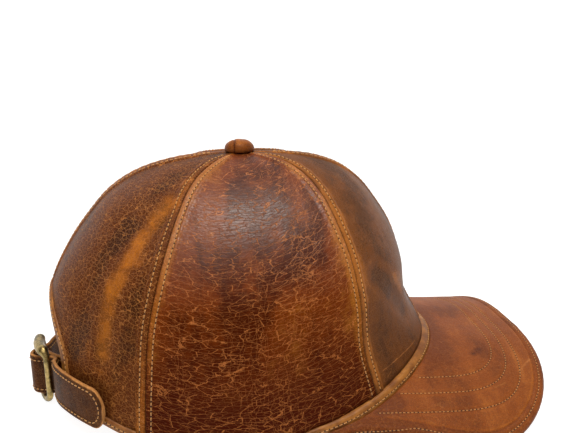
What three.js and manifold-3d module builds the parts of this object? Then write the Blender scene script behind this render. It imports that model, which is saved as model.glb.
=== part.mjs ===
// A six-panel leather cap with a stitched peak and a buckled strap across the opening at the back.
// Millimetres. +X is the front, +Y the wearer's left, +Z up. An azimuth is counted in degrees from
// the front, towards the wearer's left, and a level runs from 0 at the bottom edge to 1 at the top.
import * as THREE from "three";
import { mergeVertices } from "three/addons/utils/BufferGeometryUtils.js";
import Module from "manifold-3d";

const wasm = await Module();
wasm.setup();

// Leather and clearances
const LEATHER = 2;
const GAP = 0.3;

// Crown: half sizes at nine evenly spaced levels, from the bottom edge to the top
const CROWN_HEIGHT = 131;
const CROWN_TOP_X = 6;
const CROWN_ROUNDNESS = 0.85;
const CROWN_LEVELS = [
  { front: 112, back: 102.5, side: 85.5 },
  { front: 98, back: 100.5, side: 83.5 },
  { front: 94, back: 97, side: 79.5 },
  { front: 87, back: 88, side: 73.5 },
  { front: 77, back: 77, side: 64 },
  { front: 66.5, back: 65.5, side: 50.5 },
  { front: 52.5, back: 49.5, side: 34 },
  { front: 31.5, back: 26.5, side: 17.5 },
  { front: 0, back: 0, side: 0 },
];
const PANEL_TOP_LEVEL = 0.98;
const PANEL_ROWS = 14;
const PANEL_COLUMNS = 8;
const PANELS = [
  { name: "front_left_panel", from: 0, to: 53 },
  { name: "side_left_panel", from: 53, to: 118 },
  { name: "back_left_panel", from: 118, to: 180 },
  { name: "back_right_panel", from: 180, to: 242 },
  { name: "side_right_panel", from: 242, to: 307 },
  { name: "front_right_panel", from: 307, to: 360 },
];

// Bottom edge of the crown: level at the sides, lifted by the peak in front and a little at the back
const FRONT_LIFT_ENDS = { from: 72, to: 85 };
const BACK_LIFT = 14;
const BACK_LIFT_ENDS = { from: 100, to: 145 };

// Folds pressed into the leather, each a soft line between two places on the crown
const FOLDS = [
  { azimuth: 222, level: 0.52, toAzimuth: 214, toLevel: 0.12, width: 11, depth: -2.4 },
  { azimuth: 236, level: 0.6, toAzimuth: 226, toLevel: 0.14, width: 8, depth: -2 },
  { azimuth: 138, level: 0.5, toAzimuth: 146, toLevel: 0.15, width: 10, depth: -2 },
  { azimuth: 318, level: 0.3, toAzimuth: 336, toLevel: 0.12, width: 9, depth: -1.2 },
];

// Peak: a sheet that bends down at both sides
const PEAK_LENGTH = 57;
const PEAK_HALF_WIDTH = 97;
const PEAK_SQUARENESS = 3.65;
const PEAK_END_POWER = 12;
const PEAK_THICKNESS = 4;
const PEAK_EDGE_ROUND = 1;
const PEAK_MIDDLE_HEIGHT = 25;
const PEAK_DROP = 27;
const PEAK_DROP_AT = 85;
const PEAK_DROP_POWER = 2.6;
const PEAK_SLOPE = 0.05;
const PEAK_SEAM_GAP = 0.4;
const PEAK_CROWN_AZIMUTH = 71;
const PEAK_LAST_ANGLE = 88.5;
const PEAK_STEPS = 30;
const PEAK_ROWS = 6;

// Rolled leather edges: each row of a section is a corner, out from the crown and up from the edge
const BINDING_HEIGHT = 4.8;
const BINDING_SECTION = [
  { out: 0.2, up: 0 },
  { out: 1, up: 1.2 },
  { out: 1, up: 3.6 },
  { out: 0.2, up: BINDING_HEIGHT },
  { out: -2.2, up: BINDING_HEIGHT },
  { out: -3, up: 3.6 },
  { out: -3, up: 1.2 },
  { out: -2.2, up: 0 },
];
const BINDING_FRONT_FLARE = 2.2;
const BINDING_FLARE_ENDS = { from: 58, to: 78 };
const BINDING_STEP = 5;

// Half-round opening at the back
const ARCH_RADIUS = 42;
const ARCH_CENTRE_HEIGHT = 18;
const ARCH_BINDING_WIDTH = 4.5;
const ARCH_STEPS = 28;
const ARCH_CUT_START = 16;
const ARCH_PLACE_ROUNDS = 12;

// Button on top
const BUTTON_RADIUS = 8;
const BUTTON_HEIGHT = 6.6;
const BUTTON_FOOT_SHARE = 0.92;
const BUTTON_SIDE_SHARE = 0.18;
const BUTTON_TURN = 18;
const BUTTON_SIDES = 24;

// Straps: along is counted round the back edge from its middle towards the wearer's right
const MM_PER_DEGREE = 1.5;
const STRAP_HEIGHT = 21.5;
const STRAP_TIP = 7;
const STRAP_TIP_SHARES = [0.35, 0.65, 0.86, 0.97];
const STRAP_STEPS = 60;
const BUCKLE_ALONG = 18;
const BUCKLE_LOW = 9.2;
const LONG_STRAP = [
  { along: -66, out: -7.4, low: 14 },
  { along: -50, out: -8, low: 14 },
  { along: -36, out: -8.8, low: 12.6 },
  { along: -20, out: -8, low: 10.8 },
  { along: -6, out: -5.4, low: 9.6 },
  { along: 3, out: -2.9, low: BUCKLE_LOW },
  { along: 6, out: -2.2, low: BUCKLE_LOW },
  { along: 8.7, out: -1.2, low: BUCKLE_LOW },
  { along: 11, out: 1.5, low: BUCKLE_LOW },
  { along: 13, out: 4.3, low: BUCKLE_LOW },
  { along: 15, out: 6.5, low: BUCKLE_LOW },
  { along: 18, out: 7.4, low: BUCKLE_LOW },
  { along: 21, out: 6.5, low: BUCKLE_LOW },
  { along: 23, out: 4.3, low: BUCKLE_LOW },
  { along: 25, out: 1.5, low: 9.4 },
  { along: 27.3, out: -1.2, low: 9.8 },
  { along: 31, out: -2.1, low: 10.4 },
  { along: 38, out: 0.8, low: 12.2 },
  { along: 46, out: 2.8, low: 12.8 },
  { along: 56, out: 3.6, low: 12.4 },
  { along: 66, out: 3.8, low: 11.2 },
  { along: 76, out: 3.6, low: 9.4 },
];
const SHORT_STRAP = [
  { along: 66, out: -7, low: 13.6 },
  { along: 50, out: -7.6, low: 13.6 },
  { along: 40, out: -6.8, low: 12.2 },
  { along: 30, out: -4.8, low: 10.4 },
  { along: 24, out: -2.6, low: 9.6 },
  { along: 18, out: -0.6, low: BUCKLE_LOW },
];
const SHORT_STRAP_LOOP_RADIUS = 2.8;
const SHORT_STRAP_LOOP_TURNS = [45, 75, 105, 135, 165, 195, 225, 255, 285];

// Buckle: a bowed frame with a bar up its middle
const BUCKLE_HALF_WIDTH = 12;
const BUCKLE_RAIL_LOW = 6.9;
const BUCKLE_RAIL_HIGH = 34.4;
const BUCKLE_WIRE = 1.7;
const BUCKLE_SIDE_OUT = 0.9;
const BUCKLE_BAR_OUT = 2.2;
const BUCKLE_BAR_RADIUS = 1.4;
const BUCKLE_CORNER = 5;
const BUCKLE_BOW = 2.4;
const BUCKLE_POINTS = 44;
const WIRE_SIDES = 10;

const LEATHER_BROWN = new THREE.MeshStandardMaterial({ color: 0x6e3a1a, roughness: 0.5 });
const PEAK_BROWN = new THREE.MeshStandardMaterial({ color: 0x7d4522, roughness: 0.5 });
const EDGE_TAN = new THREE.MeshStandardMaterial({ color: 0x8f5a26, roughness: 0.5 });
const BRASS = new THREE.MeshStandardMaterial({ color: 0x6f6238, roughness: 0.4, metalness: 0.9 });

const rad = THREE.MathUtils.degToRad;
const smooth = THREE.MathUtils.smoothstep;

// The value of one column of the level table, on a smooth curve through its rows
function crownSize(column, level) {
  const last = CROWN_LEVELS.length - 1;
  const place = THREE.MathUtils.clamp(level, 0, 1) * last;
  const row = Math.min(Math.floor(place), last - 1);
  const part = place - row;
  const at = (i) => CROWN_LEVELS[i][column];
  const before = row === 0 ? 2 * at(0) - at(1) : at(row - 1);
  const after = row === last - 1 ? 2 * at(last) - at(last - 1) : at(row + 2);
  const slopeIn = (at(row + 1) - before) / 2;
  const slopeOut = (after - at(row)) / 2;
  const square = part * part;
  const cube = square * part;
  return (
    (2 * cube - 3 * square + 1) * at(row) +
    (cube - 2 * square + part) * slopeIn +
    (3 * square - 2 * cube) * at(row + 1) +
    (cube - square) * slopeOut
  );
}

// Degrees away from the front, 0 to 180 on both sides
function awayFromFront(azimuth) {
  return Math.abs(THREE.MathUtils.euclideanModulo(azimuth + 180, 360) - 180);
}

// Height of the peak's middle surface above a place on the ground plan
function peakHeight(x, y) {
  const droop = PEAK_DROP * (Math.abs(y) / PEAK_DROP_AT) ** PEAK_DROP_POWER;
  return PEAK_MIDDLE_HEIGHT - droop - PEAK_SLOPE * (x - CROWN_LEVELS[0].front);
}

// Height of the crown's bottom edge
function edgeHeight(azimuth) {
  const away = awayFromFront(azimuth);
  const x = CROWN_LEVELS[0].front * Math.cos(rad(away));
  const y = CROWN_LEVELS[0].side * Math.sin(rad(away));
  const frontShare = 1 - smooth(away, FRONT_LIFT_ENDS.from, FRONT_LIFT_ENDS.to);
  const front = away < 90 ? Math.max(peakHeight(x, y), 0) * frontShare : 0;
  return front + BACK_LIFT * smooth(away, BACK_LIFT_ENDS.from, BACK_LIFT_ENDS.to);
}

function levelAtRise(rise) {
  return Math.asin(Math.max(rise, 0) ** (1 / CROWN_ROUNDNESS)) / rad(90);
}

// The crown's outer surface before folds
function plainCrown(azimuth, level) {
  const c = Math.cos(rad(azimuth));
  const s = Math.sin(rad(azimuth));
  const low = edgeHeight(azimuth);
  const rise = Math.sin(rad(90 * level)) ** CROWN_ROUNDNESS;
  return new THREE.Vector3(
    CROWN_TOP_X * level + crownSize(c > 0 ? "front" : "back", level) * c,
    crownSize("side", level) * s,
    low + (CROWN_HEIGHT - low) * rise,
  );
}

function plainNormal(azimuth, level) {
  const step = 0.01;
  const across = plainCrown(azimuth + 1, level).sub(plainCrown(azimuth - 1, level));
  const up = plainCrown(azimuth, level + step).sub(plainCrown(azimuth, Math.max(level - step, 0)));
  return across.cross(up).normalize();
}

const foldLines = FOLDS.map((fold) => ({
  ...fold,
  line: new THREE.Line3(
    plainCrown(fold.azimuth, fold.level),
    plainCrown(fold.toAzimuth, fold.toLevel),
  ),
}));

// A point of the crown, a given distance out from its outer surface
function crownPoint(azimuth, level, out = 0) {
  const point = plainCrown(azimuth, level);
  const nearest = new THREE.Vector3();
  let pressed = 0;
  for (const fold of foldLines) {
    fold.line.closestPointToPoint(point, true, nearest);
    pressed += fold.depth * Math.exp(-((point.distanceTo(nearest) / fold.width) ** 2));
  }
  return point.addScaledVector(plainNormal(azimuth, level), pressed + out);
}

// A closed body through rings of points. Each ring runs along one face and back along the other,
// and the end rings are closed by strips from face to face, unless the rings close on themselves.
function loft(rings, closed = false) {
  const around = rings[0].length;
  const positions = rings.flat().flatMap((p) => [p.x, p.y, p.z]);
  const triangles = [];
  const quad = (a, b, c, d) => triangles.push(a, b, c, a, c, d);
  const spans = closed ? rings.length : rings.length - 1;
  for (let i = 0; i < spans; i += 1) {
    const here = i * around;
    const next = ((i + 1) % rings.length) * around;
    for (let j = 0; j < around; j += 1) {
      const k = (j + 1) % around;
      quad(here + j, here + k, next + k, next + j);
    }
  }
  if (!closed) {
    const last = (rings.length - 1) * around;
    for (let j = 0; j < Math.floor((around - 1) / 2); j += 1) {
      const far = around - 1 - j;
      if (j + 1 === far - 1) {
        triangles.push(j, far, j + 1, last + j, last + j + 1, last + far);
      } else {
        quad(j, far, far - 1, j + 1);
        quad(last + j, last + j + 1, last + far - 1, last + far);
      }
    }
  }
  const geometry = new THREE.BufferGeometry();
  geometry.setAttribute("position", new THREE.Float32BufferAttribute(positions, 3));
  geometry.setIndex(triangles);
  return facingOut(geometry);
}

// Turns a closed body's faces round if they point in
function facingOut(geometry) {
  const position = geometry.getAttribute("position");
  const index = geometry.index;
  const corner = (i) => new THREE.Vector3().fromBufferAttribute(position, index.getX(i));
  let volume = 0;
  for (let i = 0; i < index.count; i += 3) {
    volume += corner(i).dot(corner(i + 1).cross(corner(i + 2)));
  }
  if (volume < 0) {
    for (let i = 0; i < index.count; i += 3) {
      const second = index.getX(i + 1);
      index.setX(i + 1, index.getX(i + 2));
      index.setX(i + 2, second);
    }
  }
  geometry.computeVertexNormals();
  return geometry;
}

function solidOf(geometry) {
  const bare = geometry.clone();
  bare.deleteAttribute("normal");
  bare.deleteAttribute("uv");
  const merged = mergeVertices(bare, 1e-3);
  return new wasm.Manifold(
    new wasm.Mesh({
      numProp: 3,
      vertProperties: merged.getAttribute("position").array,
      triVerts: new Uint32Array(merged.index.array),
    }),
  );
}

function geometryOf(solid) {
  const mesh = solid.getMesh();
  const geometry = new THREE.BufferGeometry();
  geometry.setAttribute("position", new THREE.Float32BufferAttribute(mesh.vertProperties, 3));
  geometry.setIndex(new THREE.Uint32BufferAttribute(mesh.triVerts, 1));
  geometry.computeVertexNormals();
  return geometry;
}

// Moves a point of the inner face straight along the wall to the height of a level cut
function cutLevel(azimuth, inside, height) {
  const outward = edgeOutward(azimuth);
  const normal = plainNormal(azimuth, 0);
  const lean = normal.z / normal.dot(outward);
  return inside.addScaledVector(outward, -(height - inside.z) * lean).setZ(height);
}

// One crown panel, between two seams
function panel({ from, to }) {
  const rings = [];
  for (let row = 0; row <= PANEL_ROWS; row += 1) {
    const outer = [];
    const inner = [];
    for (let column = 0; column <= PANEL_COLUMNS; column += 1) {
      const share = column / PANEL_COLUMNS;
      const rough = THREE.MathUtils.lerp(from, to, share);
      const low = edgeHeight(rough);
      const first = levelAtRise((BINDING_HEIGHT + GAP) / (CROWN_HEIGHT - low));
      const level = THREE.MathUtils.lerp(first, PANEL_TOP_LEVEL, row / PANEL_ROWS);
      const middle = new THREE.Vector3(CROWN_TOP_X * level, 0, 0);
      const radius = plainCrown(rough, level).setZ(0).distanceTo(middle);
      const trim = THREE.MathUtils.radToDeg(GAP / 2 / radius);
      const azimuth = THREE.MathUtils.lerp(from + trim, to - trim, share);
      const inside = crownPoint(azimuth, level, -LEATHER);
      outer.push(crownPoint(azimuth, level));
      inner.unshift(row === 0 ? cutLevel(azimuth, inside, outer.at(-1).z) : inside);
    }
    rings.push([...outer, ...inner]);
  }
  return loft(rings);
}

// The half-round opening as a block along X, its sides grown by a margin
function archBlock(margin) {
  const radius = ARCH_RADIUS + margin;
  const shape = new THREE.Shape();
  shape.moveTo(radius, -BACK_LIFT);
  shape.absarc(0, ARCH_CENTRE_HEIGHT, radius, 0, Math.PI, false);
  shape.lineTo(-radius, -BACK_LIFT);
  const block = new THREE.ExtrudeGeometry(shape, {
    depth: CROWN_LEVELS[0].back,
    curveSegments: ARCH_STEPS,
    bevelEnabled: false,
  });
  block.applyMatrix4(
    new THREE.Matrix4().set(0, 0, -1, 0, -1, 0, 0, 0, 0, 1, 0, 0, 0, 0, 0, 1),
  );
  block.translate(-ARCH_CUT_START, 0, 0);
  return block;
}

function backPanel(row) {
  const cut = solidOf(panel(row)).subtract(solidOf(archBlock(ARCH_BINDING_WIDTH + GAP)));
  return geometryOf(cut);
}

// How far the rolled edge stands out where it covers the seam of the peak
function flareAt(azimuth) {
  const away = awayFromFront(azimuth);
  return BINDING_FRONT_FLARE * (1 - smooth(away, BINDING_FLARE_ENDS.from, BINDING_FLARE_ENDS.to));
}

// Level with the ground plan, straight out from the crown's bottom edge
function edgeOutward(azimuth) {
  const c = Math.cos(rad(azimuth));
  const long = CROWN_LEVELS[0][c > 0 ? "front" : "back"];
  return new THREE.Vector3(c / long, Math.sin(rad(azimuth)) / CROWN_LEVELS[0].side, 0).normalize();
}

// The rolled edge, open where the arch stands
function rimBinding() {
  const rings = [];
  const half = ARCH_RADIUS + ARCH_BINDING_WIDTH + GAP;
  const end = 180 - THREE.MathUtils.radToDeg(Math.asin((half + GAP) / CROWN_LEVELS[0].side));
  const steps = Math.floor(end / BINDING_STEP);
  const azimuths = [-end];
  for (let i = -steps; i <= steps; i += 1) azimuths.push(i * BINDING_STEP);
  azimuths.push(end);
  for (const azimuth of azimuths) {
    const low = edgeHeight(azimuth);
    const outward = edgeOutward(azimuth);
    rings.push(
      BINDING_SECTION.map(({ out, up }) => {
        const level = levelAtRise(up / (CROWN_HEIGHT - low));
        const above = Math.max(0, up - BINDING_SECTION[1].up) / BINDING_HEIGHT;
        const flare = out > 0 ? flareAt(azimuth) * (1 - above) : 0;
        return plainCrown(azimuth, level).addScaledVector(outward, out + flare);
      }),
    );
  }
  return loft(rings);
}

// Azimuth and level of the place on the back of the crown that lies at a given y and z
function backPlace(y, z) {
  let level = 0;
  let azimuth = 180;
  for (let i = 0; i < ARCH_PLACE_ROUNDS; i += 1) {
    azimuth = 180 - THREE.MathUtils.radToDeg(Math.asin(y / crownSize("side", level)));
    const low = edgeHeight(azimuth);
    level = levelAtRise((z - low) / (CROWN_HEIGHT - low));
  }
  return { azimuth, level };
}

// The rolled edge round the arch, from one bottom corner over the top to the other
function archBinding() {
  const rings = [];
  const leg = ARCH_CENTRE_HEIGHT - BACK_LIFT;
  const path = [{ rise: -leg, angle: 0 }];
  for (let i = 0; i <= ARCH_STEPS; i += 1) path.push({ rise: 0, angle: (180 * i) / ARCH_STEPS });
  path.push({ rise: -leg, angle: 180 });
  const grow = ARCH_BINDING_WIDTH / BINDING_HEIGHT;
  for (const { rise, angle } of path) {
    rings.push(
      BINDING_SECTION.map(({ out, up }) => {
        const radius = ARCH_RADIUS + up * grow;
        const y = radius * Math.cos(rad(angle));
        const z = ARCH_CENTRE_HEIGHT + rise + radius * Math.sin(rad(angle));
        const place = backPlace(y, Math.max(z, BACK_LIFT));
        return crownPoint(place.azimuth, place.level, out);
      }),
    );
  }
  return loft(rings);
}

// A place on the ground plan: along the back edge and out from it
function backEdge(along, out, z) {
  const azimuth = 180 + along / MM_PER_DEGREE;
  const { back, side } = CROWN_LEVELS[0];
  const point = new THREE.Vector3(back * Math.cos(rad(azimuth)), side * Math.sin(rad(azimuth)), z);
  return point.addScaledVector(edgeOutward(azimuth), out);
}

// An upright leather strap along a path of its lower edge, with a rounded tip if asked
function strap(points, steps, tip = 0) {
  const curve = new THREE.CatmullRomCurve3(points, false, "centripetal");
  const length = curve.getLength();
  const rings = [];
  const up = new THREE.Vector3(0, 0, 1);
  const places = [];
  for (let i = 0; i <= steps; i += 1) places.push((length - tip) * (i / steps));
  for (const share of tip ? STRAP_TIP_SHARES : []) {
    places.push(length - tip + tip * share);
  }
  for (const place of places) {
    const u = place / length;
    const low = curve.getPointAt(u);
    const side = curve.getTangentAt(u).setZ(0).normalize().cross(up);
    const past = tip ? Math.max(0, (place - (length - tip)) / tip) : 0;
    const trim = (STRAP_HEIGHT / 2) * (1 - Math.sqrt(1 - past * past));
    const corner = (out, z) => low.clone().addScaledVector(side, out).setZ(low.z + z);
    const half = LEATHER / 2;
    rings.push([
      corner(half, trim),
      corner(half, STRAP_HEIGHT - trim),
      corner(-half, STRAP_HEIGHT - trim),
      corner(-half, trim),
    ]);
  }
  return loft(rings);
}

function longStrap() {
  return strap(
    LONG_STRAP.map(({ along, out, low }) => backEdge(along, out, low)),
    STRAP_STEPS,
    STRAP_TIP,
  );
}

// The short strap ends in a loop round the buckle's bar
function shortStrap() {
  const points = SHORT_STRAP.map(({ along, out, low }) => backEdge(along, out, low));
  for (const turn of SHORT_STRAP_LOOP_TURNS) {
    const along = BUCKLE_ALONG - SHORT_STRAP_LOOP_RADIUS * Math.sin(rad(turn));
    const out = BUCKLE_BAR_OUT - SHORT_STRAP_LOOP_RADIUS * Math.cos(rad(turn));
    points.push(backEdge(along, out, BUCKLE_LOW));
  }
  return strap(points, STRAP_STEPS);
}

// A round wire through centre points, closed or with flat ends
function wire(centres, radius, closed) {
  const rings = centres.map((centre, i) => {
    const before = centres[closed ? (i + centres.length - 1) % centres.length : Math.max(i - 1, 0)];
    const last = centres.length - 1;
    const after = centres[closed ? (i + 1) % centres.length : Math.min(i + 1, last)];
    const forward = after.clone().sub(before).normalize();
    const outward = edgeOutward(180 + BUCKLE_ALONG / MM_PER_DEGREE);
    const across = new THREE.Vector3().crossVectors(forward, outward).normalize();
    const out = new THREE.Vector3().crossVectors(across, forward);
    const ring = [];
    for (let j = 0; j < WIRE_SIDES; j += 1) {
      const turn = rad((360 * j) / WIRE_SIDES);
      ring.push(
        centre
          .clone()
          .addScaledVector(across, radius * Math.cos(turn))
          .addScaledVector(out, radius * Math.sin(turn)),
      );
    }
    return ring;
  });
  return loft(rings, closed);
}

// Frame and bar of the buckle. Its plan is a straight line across the middle of the strap.
function buckle() {
  const azimuth = 180 + BUCKLE_ALONG / MM_PER_DEGREE;
  const outward = edgeOutward(azimuth);
  const along = new THREE.Vector3(0, 0, 1).cross(outward);
  const middle = backEdge(BUCKLE_ALONG, 0, 0);
  const place = (t, out, z) =>
    middle.clone().addScaledVector(along, t).addScaledVector(outward, out).setZ(z);
  const bowed = (t) => BUCKLE_SIDE_OUT + BUCKLE_BOW * (1 - (t / BUCKLE_HALF_WIDTH) ** 2);
  const outline = new THREE.Shape();
  const w = BUCKLE_HALF_WIDTH;
  const r = BUCKLE_CORNER;
  outline.moveTo(-w, BUCKLE_RAIL_LOW + r);
  outline.absarc(-w + r, BUCKLE_RAIL_LOW + r, r, Math.PI, Math.PI * 1.5, false);
  outline.absarc(w - r, BUCKLE_RAIL_LOW + r, r, Math.PI * 1.5, Math.PI * 2, false);
  outline.absarc(w - r, BUCKLE_RAIL_HIGH - r, r, 0, Math.PI / 2, false);
  outline.absarc(-w + r, BUCKLE_RAIL_HIGH - r, r, Math.PI / 2, Math.PI, false);
  outline.closePath();
  const loop = outline.getSpacedPoints(BUCKLE_POINTS).slice(0, -1);
  const frame = wire(loop.map((p) => place(p.x, bowed(p.x), p.y)), BUCKLE_WIRE, true);
  const bar = wire(
    [
      place(0, bowed(0), BUCKLE_RAIL_LOW),
      place(0, BUCKLE_BAR_OUT, BUCKLE_RAIL_LOW + BUCKLE_WIRE),
      place(0, BUCKLE_BAR_OUT, BUCKLE_RAIL_HIGH - BUCKLE_WIRE),
      place(0, bowed(0), BUCKLE_RAIL_HIGH),
    ],
    BUCKLE_BAR_RADIUS,
    false,
  );
  return geometryOf(solidOf(frame).add(solidOf(bar)));
}

// A point on the peak's middle surface: angle across it, share 0 at the crown to 1 at the edge
function peakPoint(angle, share, out = 0) {
  const azimuth = (angle / 90) * PEAK_CROWN_AZIMUTH;
  const { front, side } = CROWN_LEVELS[0];
  const seam = BINDING_SECTION[1].out + PEAK_SEAM_GAP + flareAt(azimuth);
  const start = new THREE.Vector3(front * Math.cos(rad(azimuth)), side * Math.sin(rad(azimuth)), 0);
  start.addScaledVector(edgeOutward(azimuth), seam);
  const endX = front * Math.cos(rad(PEAK_CROWN_AZIMUTH));
  const endY = (side + seam) * Math.sin(rad(PEAK_CROWN_AZIMUTH));
  const c = Math.abs(Math.cos(rad(angle))) ** (2 / PEAK_SQUARENESS);
  const s = Math.abs(Math.sin(rad(angle))) ** (2 / PEAK_SQUARENESS);
  const drawIn = Math.abs(Math.sin(rad(angle))) ** PEAK_END_POWER;
  const edgeX = endX + (front + PEAK_LENGTH - endX) * c;
  const edgeY = THREE.MathUtils.lerp(PEAK_HALF_WIDTH * s, endY, drawIn) * Math.sign(angle);
  const x = THREE.MathUtils.lerp(start.x, edgeX, share);
  const y = THREE.MathUtils.lerp(start.y, edgeY, share);
  const lift = edgeHeight(azimuth) - peakHeight(start.x, start.y);
  const slant = (peakHeight(x, y + 1) - peakHeight(x, y - 1)) / 2;
  const normal = new THREE.Vector3(PEAK_SLOPE, -slant, 1).normalize();
  const point = new THREE.Vector3(x, y, peakHeight(x, y) + lift * (1 - share));
  return point.addScaledVector(normal, out);
}

function peak() {
  const rings = [];
  for (let step = 0; step <= PEAK_STEPS; step += 1) {
    const angle = THREE.MathUtils.lerp(-PEAK_LAST_ANGLE, PEAK_LAST_ANGLE, step / PEAK_STEPS);
    const top = [];
    const under = [];
    for (let row = 0; row <= PEAK_ROWS; row += 1) {
      const share = row / PEAK_ROWS;
      top.push(peakPoint(angle, share, PEAK_THICKNESS / 2));
      under.unshift(peakPoint(angle, share, -PEAK_THICKNESS / 2));
    }
    const rim = peakPoint(angle, 1);
    const inside = peakPoint(angle, 1 - 1 / PEAK_ROWS);
    rim.addScaledVector(rim.clone().sub(inside).normalize(), PEAK_EDGE_ROUND);
    rings.push([...top, rim, ...under]);
  }
  return loft(rings);
}

function button() {
  const foot = new THREE.Vector2(BUTTON_RADIUS * BUTTON_FOOT_SHARE, 0);
  const profile = [new THREE.Vector2(0, 0), foot];
  for (let turn = 0; turn < 90; turn += BUTTON_TURN) {
    profile.push(
      new THREE.Vector2(
        BUTTON_RADIUS * Math.cos(rad(turn)),
        BUTTON_HEIGHT * THREE.MathUtils.lerp(BUTTON_SIDE_SHARE, 1, Math.sin(rad(turn))),
      ),
    );
  }
  profile.push(new THREE.Vector2(0, BUTTON_HEIGHT));
  const geometry = new THREE.LatheGeometry(profile, BUTTON_SIDES);
  geometry.rotateX(rad(90));
  geometry.translate(CROWN_TOP_X, 0, CROWN_HEIGHT + GAP);
  return geometry;
}

const cap = new THREE.Group();

function add(name, geometry, material) {
  const mesh = new THREE.Mesh(geometry, material.clone());
  mesh.name = name;
  cap.add(mesh);
  return mesh;
}

for (const row of PANELS) {
  add(row.name, row.name.startsWith("back") ? backPanel(row) : panel(row), LEATHER_BROWN);
}
add("top_button", button(), LEATHER_BROWN);
add("rim_binding", rimBinding(), EDGE_TAN);
add("arch_binding", archBinding(), EDGE_TAN);
const peakMesh = add("peak", peak(), PEAK_BROWN);
add("strap_left", longStrap(), LEATHER_BROWN);
add("strap_right", shortStrap(), LEATHER_BROWN);
const buckleMesh = add("buckle", buckle(), BRASS);

// The lowest corner of a mesh
function lowest(mesh) {
  const position = mesh.geometry.getAttribute("position");
  const best = new THREE.Vector3(0, 0, Infinity);
  const corner = new THREE.Vector3();
  for (let i = 0; i < position.count; i += 1) {
    corner.fromBufferAttribute(position, i);
    if (corner.z < best.z) best.copy(corner);
  }
  return best;
}

// At rest the cap stands on the two sides of its peak and on its buckle
const frontFoot = lowest(peakMesh);
const backFoot = lowest(buckleMesh);
cap.rotation.y = -Math.atan2(backFoot.z - frontFoot.z, frontFoot.x - backFoot.x);
cap.updateMatrixWorld(true);
const box = new THREE.Box3().setFromObject(cap, true);
cap.position.set(-(box.min.x + box.max.x) / 2, -(box.min.y + box.max.y) / 2, -box.min.z);

const part = new THREE.Group();
part.add(cap);
export default part;
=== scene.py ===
"""Looks of a six-panel leather cap with a stitched peak and a buckled strap at the back.

Shapes are worked out in the cap's own frame, in millimetres: +X front, +Y the wearer's left,
+Z up, azimuth in degrees from the front towards the wearer's left, level 0 at the bottom edge
of the crown to 1 at its top. place() turns them into the row frame, in metres.
"""

import math
import random

import bmesh
import bpy
import numpy as np
from mathutils import Matrix, Vector, noise


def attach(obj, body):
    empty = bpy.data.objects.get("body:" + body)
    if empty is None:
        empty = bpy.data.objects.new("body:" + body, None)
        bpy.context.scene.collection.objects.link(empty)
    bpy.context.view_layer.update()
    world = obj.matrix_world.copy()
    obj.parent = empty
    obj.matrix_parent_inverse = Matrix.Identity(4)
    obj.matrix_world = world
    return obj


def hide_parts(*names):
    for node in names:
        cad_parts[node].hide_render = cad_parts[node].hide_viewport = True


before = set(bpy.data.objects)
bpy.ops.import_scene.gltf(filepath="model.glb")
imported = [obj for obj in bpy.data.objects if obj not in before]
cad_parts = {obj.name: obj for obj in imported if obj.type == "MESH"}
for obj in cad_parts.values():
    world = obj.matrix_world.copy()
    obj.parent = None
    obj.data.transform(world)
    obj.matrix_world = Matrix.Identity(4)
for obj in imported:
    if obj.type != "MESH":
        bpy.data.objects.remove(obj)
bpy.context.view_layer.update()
random.seed(7)

# How the cap stands at rest: a turn about Y, then a shift
REST_TILT = math.radians(-3.3347056)
REST_SHIFT = np.array([-29.1236, 0.0, 1.0664])
MM = 0.001

# Crown
CROWN_HEIGHT = 131.0
CROWN_TOP_X = 6.0
CROWN_ROUNDNESS = 0.85
FRONT, BACK, SIDE = 0, 1, 2
CROWN_LEVELS = np.array([
    (112, 102.5, 85.5),
    (98, 100.5, 83.5),
    (94, 97, 79.5),
    (87, 88, 73.5),
    (77, 77, 64),
    (66.5, 65.5, 50.5),
    (52.5, 49.5, 34),
    (31.5, 26.5, 17.5),
    (0, 0, 0),
], dtype=float)
CROWN_FRONT, CROWN_BACK, CROWN_SIDE = CROWN_LEVELS[0]
FRONT_LIFT_ENDS = (72, 85)
BACK_LIFT = 14.0
BACK_LIFT_ENDS = (100, 145)
LEATHER = 2.0
GAP = 0.3
PANEL_TOP_LEVEL = 0.985

# Folds: azimuth, level, to azimuth, to level, width, depth
FOLDS = [
    (222, 0.52, 214, 0.12, 11, -2.4),
    (236, 0.6, 226, 0.14, 8, -2),
    (138, 0.5, 146, 0.15, 10, -2),
    (318, 0.3, 336, 0.12, 9, -1.2),
]

# Panels: node, first seam, last seam
PANELS = [
    ("front_left_panel", 0, 53),
    ("side_left_panel", 53, 118),
    ("back_left_panel", 118, 180),
    ("back_right_panel", 180, 242),
    ("side_right_panel", 242, 307),
    ("front_right_panel", 307, 360),
]
PANEL_ROWS = 130
SEAM_COLUMNS = [0.0, 0.15, 0.3, 0.5, 0.8, 1.3, 1.9, 2.5, 3.1, 3.7, 4.3, 4.9, 5.6, 6.6, 8.2]
MIDDLE_COLUMNS = 36
SEAM_FULL_WIDTH = 26.0
SEAM_LIP_ENDS = (4.2, 5.8)
PANEL_DEGREES = 58
FAR_FROM_SEAMS = 40.0

# Stitches
PITCH = 2.5
STITCH_LENGTH = 1.75
PEAK_PITCH = 2.1
PEAK_STITCH_LENGTH = 1.2
THREAD = 0.3
PEAK_THREAD = 0.22
RIM_THREAD = 0.25
STITCH_SIDES = 6
STITCH_RINGS = [(-1, 0.45, -0.5), (-0.72, 0.95, 0.12), (0, 1, 0.32), (0.72, 0.95, 0.12), (1, 0.45, -0.5)]
HOLE_RADIUS = 0.42
HOLE_SIDES = 8
SEAM_STITCH = 3.0
SEAM_STITCH_FOOT = 1.2
SEAM_STITCH_TOP = 0.93
ARCH_SEAM_START = 48.2

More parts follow.
